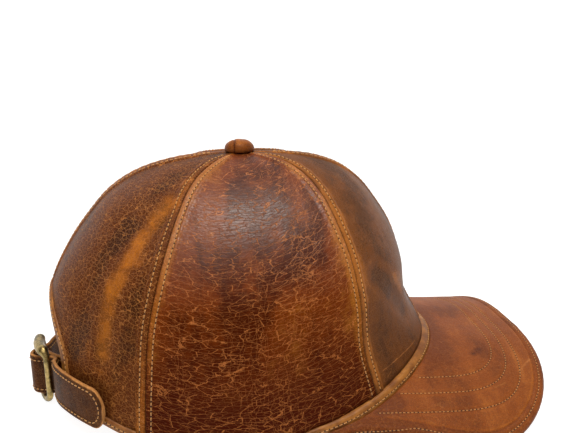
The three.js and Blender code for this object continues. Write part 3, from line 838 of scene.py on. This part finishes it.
def binding_section(bulge):
    """Corners of a rolled edge's section, out and up, from the bottom of its outer side."""
    radius = BINDING_CORNER
    centres = [
        (BINDING_OUT - radius, radius, -90), (BINDING_OUT - radius, BINDING_HEIGHT - radius, 0),
        (BINDING_IN + radius, BINDING_HEIGHT - radius, 90), (BINDING_IN + radius, radius, 180),
    ]
    section = []
    for out, up in round_corners(centres, radius, 4):
        rise = math.sin(math.pi * up / BINDING_HEIGHT)
        section.append((out + (bulge * rise if out > 0 else 0), up))
    return section


def binding_roll(node, rings, section, line, start):
    """A rolled edge through its rings, marked by its length from a start."""
    points, faces = tube(rings)
    outs, ups = np.array(section).T
    run = lengths(line)[:, None] + start
    flat = np.stack(np.broadcast_arrays(run, ups[None], outs[None]), axis=-1)
    worn = np.broadcast_to(np.where(ups < 1.0, 0.6, 0.1)[None], flat.shape[:2])
    marks = {"flat": flat.reshape(-1, 3), "worn": worn.ravel()}
    piece(node + "_roll", points, faces, node, "edge_leather", EDGE_LEATHER, marks)


def flare_at(azimuth):
    return BINDING_FRONT_FLARE * (1 - smooth(away_from_front(azimuth), *BINDING_FLARE_ENDS))


def binding_point(azimuth, out, up):
    low = edge_height(azimuth)
    level = level_at_rise(up / (CROWN_HEIGHT - low))
    flare = flare_at(azimuth) * (1 - np.maximum(0, up - 1.2) / BINDING_HEIGHT) if out > 0 else 0.0
    return plain_crown(azimuth, level) + edge_outward(azimuth) * np.reshape(out + flare, (-1, 1))


def rim_binding():
    half_opening = ARCH_RADIUS + ARCH_BINDING_WIDTH + 2 * GAP
    end = 180 - math.degrees(math.asin(half_opening / CROWN_SIDE))
    azimuths = np.linspace(-end, end, 300)
    section = binding_section(0.25)
    rings = np.stack([binding_point(azimuths, out, up) for out, up in section], axis=1)
    binding_roll("rim_binding", rings, section, binding_point(azimuths, BINDING_OUT, 3.0), 0)
    sewing = Sewing()
    path = binding_point(azimuths, 1.28, BINDING_STITCH)
    sewing.row(path, crown_normal(azimuths, np.full_like(azimuths, 0.03)), radius=RIM_THREAD)
    sewing.finish("rim_binding", "rim_binding", "edge_leather")


def back_place(y, z):
    """Azimuth and level of the place on the back of the crown at a given y and z."""
    level = np.zeros_like(y)
    for _ in range(ARCH_PLACE_ROUNDS):
        azimuth = 180 - np.degrees(np.arcsin(np.clip(y / crown_size(SIDE, level), -1, 1)))
        low = edge_height(azimuth)
        level = level_at_rise((z - low) / (CROWN_HEIGHT - low))
    return azimuth, level


def arch_point(rise, angle, out, up):
    radius = ARCH_RADIUS + up * ARCH_BINDING_WIDTH / BINDING_HEIGHT
    y = radius * np.cos(angle)
    z = ARCH_CENTRE_HEIGHT + rise + radius * np.sin(angle)
    azimuth, level = back_place(y, np.maximum(z, BACK_LIFT))
    return crown_point(azimuth, level, out), crown_normal(azimuth, level)


def arch_binding():
    leg = ARCH_CENTRE_HEIGHT - BACK_LIFT
    angle = np.concatenate([[0.0], np.linspace(0, math.pi, ARCH_STEPS), [math.pi]])
    rise = np.concatenate([[-leg], np.zeros(ARCH_STEPS), [-leg]])
    section = binding_section(0.2)
    rings = np.stack([arch_point(rise, angle, out, up)[0] for out, up in section], axis=1)
    binding_roll("arch_binding", rings, section, rings[:, 0], 900)
    sewing = Sewing()
    sewing.row(*arch_point(rise, angle, 1.12, ARCH_STITCH))
    sewing.finish("arch_binding", "arch_binding", "edge_leather")


def peak_plan(angle, share):
    """Ground plan of the peak by angle across it and share from crown to edge."""
    azimuth = angle / 90 * PEAK_CROWN_AZIMUTH
    seam = PEAK_SEAM_GAP + flare_at(azimuth)
    c, s = cos_sin(azimuth)
    start = np.stack([CROWN_FRONT * c, CROWN_SIDE * s, np.zeros_like(c)], axis=-1)
    start = start + edge_outward(azimuth) * seam[..., None]
    end_c, end_s = cos_sin(PEAK_CROWN_AZIMUTH)
    end_x = CROWN_FRONT * end_c
    end_y = (CROWN_SIDE + seam) * end_s
    c, s = np.abs(cos_sin(angle))
    draw_in = s ** PEAK_END_POWER
    c, s = c ** (2 / PEAK_SQUARENESS), s ** (2 / PEAK_SQUARENESS)
    edge_x = end_x + (CROWN_FRONT + PEAK_LENGTH - end_x) * c
    edge_y = (PEAK_HALF_WIDTH * s * (1 - draw_in) + end_y * draw_in) * np.sign(angle)
    x = start[..., 0] + (edge_x - start[..., 0]) * share
    y = start[..., 1] + (edge_y - start[..., 1]) * share
    lift = edge_height(azimuth) - peak_height(start[..., 0], start[..., 1])
    return x, y, lift * (1 - share)


def peak_surface(x, y, lift, out):
    slant = (peak_height(x, y + 1) - peak_height(x, y - 1)) / 2
    normal = unit(np.stack([np.full_like(slant, PEAK_SLOPE), -slant, np.ones_like(slant)], axis=-1))
    points = np.stack([x, y, peak_height(x, y) + lift], axis=-1)
    return points + normal * np.broadcast_to(out, x.shape)[..., None], normal


def row_distance(x, y, half_width, front):
    """Rough distance from one of the stitched curves on the peak."""
    n = PEAK_ROW_SQUARENESS
    a = np.maximum(x - PEAK_ROW_START, 0) / (front - PEAK_ROW_START)
    b = np.abs(y) / half_width
    r = (a**n + b**n) ** (1 / n) + 1e-9
    slope_x = (a / r) ** (n - 1) / (front - PEAK_ROW_START)
    slope_y = (b / r) ** (n - 1) / half_width
    return (r - 1) / np.maximum(np.hypot(slope_x, slope_y), 1e-6)


def nearest(x, y, line):
    """Distance of each place from a line on the ground plan."""
    best = np.full(x.shape, 1e9)
    for px, py in line:
        best = np.minimum(best, (x - px) ** 2 + (y - py) ** 2)
    return np.sqrt(best)


def peak_edge_gap(x, y):
    """Distance of each place on the peak from its outer edge, on the ground plan."""
    fine = np.linspace(-PEAK_LAST_ANGLE, PEAK_LAST_ANGLE, 900)
    edge_x, edge_y, _ = peak_plan(fine, np.ones_like(fine))
    return nearest(x, y, np.stack([edge_x, edge_y], axis=1))


def peak_body(edge):
    """Half the thickness of the peak, rounded off towards its edge."""
    into = np.minimum(edge / PEAK_EDGE_ROUND, 1)
    return PEAK_THICKNESS / 2 * np.sqrt(np.clip(1 - (1 - into) ** 2, 0.0, 1))


def peak_top(x, y, edge):
    """Height of the peak's top over its middle surface, and distances from its stitched curves."""
    crease = -0.45 * bell(edge, PEAK_BAND, 0.6) - 0.2 * bell(edge, PEAK_EDGE_STITCH, 0.6)
    band = 0.3 * (1 - smooth(edge, PEAK_BAND - 0.8, PEAK_BAND + 0.4)) * smooth(edge, 0, 2.5)
    rows = [row_distance(x, y, *row) for row in PEAK_STITCH_ROWS]
    quilt = sum(-0.34 * bell(row, 0, 1.0) for row in rows)
    spots = np.stack([x, y, np.zeros_like(x)], axis=-1)
    soft = wobble(spots, 24.0, 0.45) * smooth(edge, 2, 14)
    return peak_body(edge) + crease + band + quilt * smooth(edge, *PEAK_QUILT_ENDS) + soft, rows


def lift_near(x, y):
    """Rise of the peak's middle surface over its plain curve, near the crown."""
    azimuth = np.degrees(np.arctan2(y / CROWN_SIDE, x / CROWN_FRONT))
    share = np.clip((np.hypot(x / CROWN_FRONT, y / CROWN_SIDE) - 1) * 1.6, 0, 1)
    _, _, start_lift = peak_plan(azimuth * 90 / PEAK_CROWN_AZIMUTH, np.zeros_like(x))
    return start_lift * (1 - share)


def clear_of_crown(x, y, gap):
    """Tells which places on the ground plan lie further than a gap from the crown."""
    return np.hypot(x / (CROWN_FRONT + gap), y / (CROWN_SIDE + gap)) > 1.0


def loose_marks(flat, spot, worn, pressed):
    """Marks of leather that lies far from any sewn edge and shows its outer side."""
    count = len(spot)
    return {
        "flat": flat, "seam": np.full(count, FAR_FROM_SEAMS), "worn": worn, "pressed": pressed,
        "spot": spot, "inside": np.zeros(count),
    }


def peak():
    angles = np.linspace(-PEAK_LAST_ANGLE, PEAK_LAST_ANGLE, PEAK_STEPS)
    shares = 1 - (1 - np.linspace(0, 1, PEAK_ROWS)) ** 1.25
    angle, share = np.meshgrid(angles, shares, indexing="ij")
    x, y, lift = peak_plan(angle, share)
    edge = peak_edge_gap(x, y)
    out, rows = peak_top(x, y, edge)
    top, _ = peak_surface(x, y, lift, out)
    under, _ = peak_surface(x, y, lift, 0.35 * bell(edge, PEAK_BAND, 0.6) - peak_body(edge))
    points, faces = shell(top, under)
    flat = np.stack([x + 3000, y, np.zeros_like(x)], axis=-1).reshape(-1, 3)
    near_row = sum(bell(np.abs(row), 1.3, 0.7) for row in rows)
    worn = 0.1 + 0.25 * near_row * smooth(edge, *PEAK_QUILT_ENDS)
    worn = worn + 0.5 * bell(edge, PEAK_BAND + 0.9, 0.6)
    # darker along the outer band; painted shade in the crease beside the band and next to the crown
    pressed = 0.6 * (1 - smooth(edge, 4.2, 5.8)) + 0.9 * bell(edge, PEAK_BAND, 0.4)
    pressed = np.clip(pressed + 0.55 * (1 - smooth(share, 0.02, 0.3)), 0, 1)
    flat = np.concatenate([flat, flat + 500])
    marks = loose_marks(flat, points, twice(worn.ravel()), twice(pressed.ravel()))
    piece("peak_skin", points, faces, "peak", "peak_leather", PEAK_LEATHER, marks)


def peak_row(half_width, front):
    """Ground plan of one of the stitched curves on the peak, as far as the crown."""
    c, s = cos_sin(np.linspace(-89.9, 89.9, 400))
    power = 2 / PEAK_ROW_SQUARENESS
    x = PEAK_ROW_START + (front - PEAK_ROW_START) * c**power
    y = half_width * np.abs(s) ** power * np.sign(s)
    tail = np.linspace(PEAK_ROW_END, PEAK_ROW_START, 40)[:-1]
    x = np.concatenate([tail, x, tail[::-1]])
    y = np.concatenate([np.full(39, -half_width), y, np.full(39, half_width)])
    clear = clear_of_crown(x, y, PEAK_ROW_CLEAR)
    return x[clear], y[clear]


def peak_edge_row():
    """Ground plan and lift of the row of stitches that follows the peak's edge."""
    shares = np.linspace(0.5, 1, 160)
    line = []
    for angle in np.linspace(-87, 87, 500):
        x, y, lift = peak_plan(np.full_like(shares, angle), shares)
        pick = int(np.argmin(np.abs(peak_edge_gap(x, y) - PEAK_EDGE_STITCH)))
        line.append((x[pick], y[pick], lift[pick]))
    x, y, lift = np.array(line).T
    clear = clear_of_crown(x, y, PEAK_EDGE_STITCH_CLEAR)
    return x[clear], y[clear], lift[clear]


def peak_stitches():
    sewing = Sewing()
    lines = []
    for half_width, front in PEAK_STITCH_ROWS:
        x, y = peak_row(half_width, front)
        lines.append((x, y, lift_near(x, y), peak_edge_gap(x, y)))
    x, y, lift = peak_edge_row()
    lines.append((x, y, lift, np.full_like(x, PEAK_EDGE_STITCH)))
    for x, y, lift, edge in lines:
        out, _ = peak_top(x, y, edge)
        path, normals = peak_surface(x, y, lift, out + 0.06)
        sewing.row(path, normals, PEAK_PITCH, PEAK_STITCH_LENGTH, PEAK_THREAD)
    sewing.finish("peak", "peak", "peak_leather")


def button():
    outline = [(BUTTON_RADIUS - 0.6, 0.0), (BUTTON_RADIUS - 0.2, 0.35)]
    for turn in np.radians(range(0, 90, 4)):
        share = BUTTON_SIDE_SHARE + (1 - BUTTON_SIDE_SHARE) * math.sin(turn) ** BUTTON_ROUNDNESS
        outline.append((BUTTON_RADIUS * math.cos(turn) ** BUTTON_ROUNDNESS, BUTTON_HEIGHT * share))
    forward, left, up = np.eye(3)
    rings = np.array([up * z + spokes(forward, left, BUTTON_SIDES) * radius for radius, z in outline])
    bend = 0.12 * rings[..., 1] ** 2 / BUTTON_RADIUS
    crease = bell(rings[..., 0] + bend, -BUTTON_CREASE, 0.5)
    rings[..., 2] -= 0.4 * crease * smooth(rings[..., 2], 1.0, 4.0)
    rings[..., 2] += wobble(rings, 5.0, 0.3) * smooth(rings[..., 2], 0.5, 3.0)
    foot = np.array([CROWN_TOP_X, 0, CROWN_HEIGHT])
    points, faces = tube(rings + foot + np.array([0, 0, GAP]))
    local = points - foot
    # lighter towards the top of the button; painted shade darkens the crease across it
    worn = 0.25 + 0.5 * smooth(local[:, 2], 3, 7) - 0.7 * crease.ravel()
    marks = loose_marks(local + 5000, points, worn, crease.ravel() * 0.8)
    piece("top_button_skin", points, faces, "top_button", "crown_leather", PANEL_LEATHER["button"], marks)


def back_edge(along, out, z):
    """Places along the back edge, which runs on round the opening, at a height z."""
    azimuth = 180 + np.asarray(along, float) / MM_PER_DEGREE
    c, s = cos_sin(azimuth)
    points = np.stack([CROWN_BACK * c, CROWN_SIDE * s, np.broadcast_to(z, c.shape)], axis=-1)
    return points + edge_outward(azimuth) * np.reshape(out, c.shape + (1,))


def through(points):
    """A smooth curve through points, evenly sampled by length."""
    held = np.concatenate([[2 * points[0] - points[1]], points, [2 * points[-1] - points[-2]]])
    found = []
    for i in range(len(points) - 1):
        p = held[i:i + 4]
        t0, t1, t2 = np.maximum(np.linalg.norm(np.diff(p, axis=0), axis=1) ** 0.5, 1e-4)
        m1 = (p[1] - p[0]) / t0 - (p[2] - p[0]) / (t0 + t1) + (p[2] - p[1]) / t1
        m2 = (p[2] - p[1]) / t1 - (p[3] - p[1]) / (t1 + t2) + (p[3] - p[2]) / t2
        t = np.linspace(0, 1, 60, endpoint=i == len(points) - 2)[:, None]
        found.append(curve(t, p[1], m1 * t1, p[2], m2 * t1))
    path = np.concatenate(found)
    return at(path, even_spots(path, PATH_SAMPLES)), lengths(path)[-1]


def strap(node, rows, loop, tip, order):
    """A strap through rows of places, with a loop round the bar or a rounded tip at its end."""
    points = np.array([back_edge(along, out, low) for along, out, low in rows])
    if loop:
        turns = np.radians(list(LOOP_TURNS))
        ring = back_edge(
            BUCKLE_ALONG - LOOP_RADIUS * np.sin(turns),
            BUCKLE_BAR_OUT - LOOP_RADIUS * np.cos(turns), BUCKLE_LOW,
        )
        points = np.concatenate([points, ring])
    path, length = through(points)
    tangents = np.gradient(path, axis=0)
    tangents[:, 2] = 0
    outward = np.cross(unit(tangents), (0, 0, 1.0))
    if loop:
        outward = -outward

    def surface(s, t, out):
        """Places s along the strap, t up it and out from its middle, and which way is out."""
        spots = s * (len(path) - 1) / length
        low, side = at(path, spots), at(outward, spots)
        rise = np.stack(np.broadcast_arrays(0.0, 0.0, t + np.zeros_like(s)), axis=-1)
        return low + side * np.broadcast_to(out, s.shape)[..., None] + rise, side

    body = length - (STRAP_TIP if tip else 0)
    stations = np.linspace(0, body, int(body / STRAP_STEP))
    if tip:
        tip_turns = np.radians(np.linspace(4, 89, 22))
        stations = np.concatenate([stations, body + STRAP_TIP * np.sin(tip_turns)])
    past = np.clip((stations - body) / STRAP_TIP, 0, 1) if tip else np.zeros_like(stations)
    trim = STRAP_HEIGHT / 2 * (1 - np.sqrt(1 - past**2))
    half = LEATHER / 2
    shares = [*STRAP_EDGE_SHARES, 0.5, *(1 - share for share in reversed(STRAP_EDGE_SHARES))]
    section = [(share, 1) for share in shares] + [(share, -1) for share in reversed(shares)]
    rings, edges = [], []
    for share, side in section:
        into = min(share, 1 - share) * STRAP_HEIGHT
        roundness = half * math.sqrt(max(0.12, 1 - (1 - min(into / 0.9, 1)) ** 2))
        sunk = 0.22 * bell(into, STRAP_STITCH, 0.7)
        height = trim + (STRAP_HEIGHT - 2 * trim) * share
        ring, _ = surface(stations, height, side * (roundness - sunk))
        rings.append(ring)
        edges.append(into)
    rings = np.stack(rings, axis=1)
    points, faces = tube(rings)
    ups = np.array([share * STRAP_HEIGHT for share, _ in section])
    sides = np.array([side * 4.0 for _, side in section])
    flat = np.stack(np.broadcast_arrays(stations[:, None] + 700 * order, ups[None], sides[None]), axis=-1)
    edge = np.broadcast_to(np.array(edges)[None], flat.shape[:2])
    near_tip = np.minimum(edge, (length - stations)[:, None]) if tip else edge
    worn = 1.5 * (1 - smooth(near_tip, 0.1, 0.8))
    pressed = 0.25 * smooth(edge, 3, 6)
    marks = loose_marks(flat.reshape(-1, 3), points, worn.ravel(), pressed.ravel())
    piece(node + "_skin", points, faces, node, "strap_leather", STRAP_LEATHER, marks)
    sewing = Sewing()
    for side in ((1, -1) if tip else (1,)):
        run = np.linspace(2, body - 2, 400)
        out = side * (half + 0.02)
        lower, up_lower = surface(run, STRAP_STITCH, out)
        upper, up_upper = surface(run[::-1], STRAP_HEIGHT - STRAP_STITCH, out)
        if tip:
            turn = np.radians(np.linspace(-90, 90, 60))
            bend, up_bend = surface(
                body - 2 + (STRAP_TIP - STRAP_STITCH + 2) * np.cos(turn),
                STRAP_HEIGHT / 2 + (STRAP_HEIGHT / 2 - STRAP_STITCH) * np.sin(turn), out,
            )
            sewing.row(
                np.concatenate([lower, bend, upper]),
                side * np.concatenate([up_lower, up_bend, up_upper]),
            )
        else:
            sewing.row(lower, side * up_lower)
            sewing.row(upper, side * up_upper)
    sewing.finish(node, node, "strap_leather")


def wire(centres, outward, radius, closed):
    """A round wire along centres, as thick as one radius or one for each centre."""
    centres = np.asarray(centres)
    if closed:
        forward = np.roll(centres, -1, axis=0) - np.roll(centres, 1, axis=0)
    else:
        forward = np.gradient(centres, axis=0)
    forward = unit(forward)
    across = unit(np.cross(forward, outward))
    out = np.cross(across, forward)
    thick = np.broadcast_to(radius, len(centres))[:, None, None]
    return tube(centres[:, None] + spokes(across[:, None], out[:, None], WIRE_SIDES) * thick, closed)


def buckle():
    azimuth = np.array(180 + BUCKLE_ALONG / MM_PER_DEGREE)
    outward = edge_outward(azimuth)
    along = np.cross((0, 0, 1.0), outward)
    middle = back_edge(BUCKLE_ALONG, 0.0, 0.0)
    w, r = BUCKLE_HALF_WIDTH, BUCKLE_CORNER

    def spot(t, out, z):
        return middle + along * t + outward * out + np.array([0, 0, z])

    def bowed(t):
        return BUCKLE_SIDE_OUT + BUCKLE_BOW * (1 - (t / w) ** 2)

    corners = [(-w + r, BUCKLE_RAIL_LOW + r, 180), (w - r, BUCKLE_RAIL_LOW + r, 270),
               (w - r, BUCKLE_RAIL_HIGH - r, 0), (-w + r, BUCKLE_RAIL_HIGH - r, 90)]
    outline = round_corners(corners, r, 18)
    outline = np.array([*outline, outline[0]])
    outline = at(outline, even_spots(outline, BUCKLE_POINTS + 1))[:-1]
    centres = [spot(t, bowed(t), z) for t, z in outline]
    from_side = w - np.abs(outline[:, 0])
    top_rail = smooth(from_side, 0.5, 4.0) * smooth(outline[:, 1], BUCKLE_RAIL_LOW, BUCKLE_RAIL_HIGH)
    points, faces = wire(centres, outward, BUCKLE_WIRE + BUCKLE_RAIL_EXTRA * top_rail, True)
    heights = np.linspace(BUCKLE_RAIL_LOW, BUCKLE_RAIL_HIGH, 40)
    bar_out = []
    for z in heights:
        end = min(z - BUCKLE_RAIL_LOW, BUCKLE_RAIL_HIGH - z)
        bar_out.append(bowed(0) + (BUCKLE_BAR_OUT - bowed(0)) * smooth(end, 0, 2.4))
    bar = [spot(0, out, z) for out, z in zip(bar_out, heights)]
    bar_points, bar_faces = wire(bar, outward, BUCKLE_BAR_RADIUS, False)
    faces = faces + [[i + len(points) for i in face] for face in bar_faces]
    points = np.concatenate([points, bar_points])
    piece("buckle_metal", points, faces, "buckle", "antique_brass", BRASS)


panels()
seam_stitches()
rim_binding()
arch_binding()
peak()
peak_stitches()
button()
strap("strap_left", LONG_STRAP, False, True, 1)
strap("strap_right", SHORT_STRAP, True, False, 2)
buckle()

# Floor
stage_shader = Shader("pale_floor")
stage_surface = stage_shader.node("ShaderNodeBsdfPrincipled", {
    "Base Color": (0.3, 0.3, 0.3, 1), "Roughness": 0.9, "Specular IOR Level": 0.0,
    "Emission Color": (1, 1, 1, 1), "Emission Strength": 0.92,
})
stage_shader.node("ShaderNodeOutputMaterial", {"Surface": stage_surface.outputs[0]})
bpy.ops.mesh.primitive_circle_add(vertices=96, radius=14, fill_type="NGON", location=(0, 0, -0.0002))
floor = bpy.context.object
floor.name = "floor"
floor.data.materials.append(stage_shader.material)

# White wall behind
wall_shader = Shader("pale_wall")
glow = wall_shader.node("ShaderNodeEmission", {"Color": (1, 1, 1, 1), "Strength": 1.05})
wall_shader.node("ShaderNodeOutputMaterial", {"Surface": glow.outputs[0]})
bpy.ops.mesh.primitive_plane_add(size=1, location=(0, 3.5, 2.5), rotation=(math.radians(90), 0, 0))
wall = bpy.context.object
wall.name = "wall"
wall.scale = (26, 5.5, 1)
wall.data.materials.append(wall_shader.material)

# Light
LAMP_COLOUR = (1.0, 0.93, 0.84)
bpy.context.scene.view_settings.view_transform = "Standard"
world = bpy.data.worlds.new("studio")
bpy.context.scene.world = world
world.use_nodes = True
background = world.node_tree.nodes["Background"]
background.inputs["Color"].default_value = (1, 1, 1, 1)
background.inputs["Strength"].default_value = 0.2


def area_light(name, spot, target, size, power):
    lamp = bpy.data.lights.new(name, "AREA")
    lamp.shape = "RECTANGLE"
    lamp.size, lamp.size_y = size
    lamp.energy = power
    lamp.color = LAMP_COLOUR
    item = bpy.data.objects.new(name, lamp)
    bpy.context.scene.collection.objects.link(item)
    item.location = spot
    item.rotation_euler = (Vector(target) - Vector(spot)).to_track_quat("-Z", "Y").to_euler()


area_light("top", (-0.03, -0.26, 1.03), (0, -0.02, 0.08), (0.5, 0.46), 11.2)
area_light("key", (-0.55, -0.95, 0.9), (0, 0, 0.06), (1.1, 0.9), 2.6)

# Camera, set in the cap's frame and turned with it
CAMERA_AZIMUTH = math.radians(-9.43)
CAMERA_ELEVATION = math.radians(15.95)
CAMERA_AIM = np.array([0, 0, 58.0])
CAMERA_DISTANCE = 399.4
CAMERA_RIGHT = 33.77
CAMERA_UP = 29.64
CAMERA_LENS = 44.04
CAMERA_SENSOR = 36
CAMERA_SHIFT = (-0.0047, 0.0185)
back = np.array([
    math.sin(CAMERA_AZIMUTH) * math.cos(CAMERA_ELEVATION),
    -math.cos(CAMERA_AZIMUTH) * math.cos(CAMERA_ELEVATION),
    math.sin(CAMERA_ELEVATION),
])
right = np.array([math.cos(CAMERA_AZIMUTH), math.sin(CAMERA_AZIMUTH), 0])
up = np.cross(back, right)
spot = CAMERA_AIM + CAMERA_DISTANCE * back + CAMERA_RIGHT * right + CAMERA_UP * up
origin = place(spot)
axes = [place(spot + axis * 100) - origin for axis in (right, up, back)]
axes = [axis / np.linalg.norm(axis) for axis in axes]
lens = bpy.data.cameras.new("camera")
lens.lens = CAMERA_LENS
lens.sensor_width = CAMERA_SENSOR
lens.sensor_fit = "HORIZONTAL"
lens.shift_x, lens.shift_y = CAMERA_SHIFT
lens.clip_start = 0.01
camera = bpy.data.objects.new("camera", lens)
bpy.context.scene.collection.objects.link(camera)
turn = Matrix([[axes[j][i] for j in range(3)] for i in range(3)])
camera.matrix_world = Matrix.Translation(Vector(origin)) @ turn.to_4x4()
bpy.context.scene.camera = camera
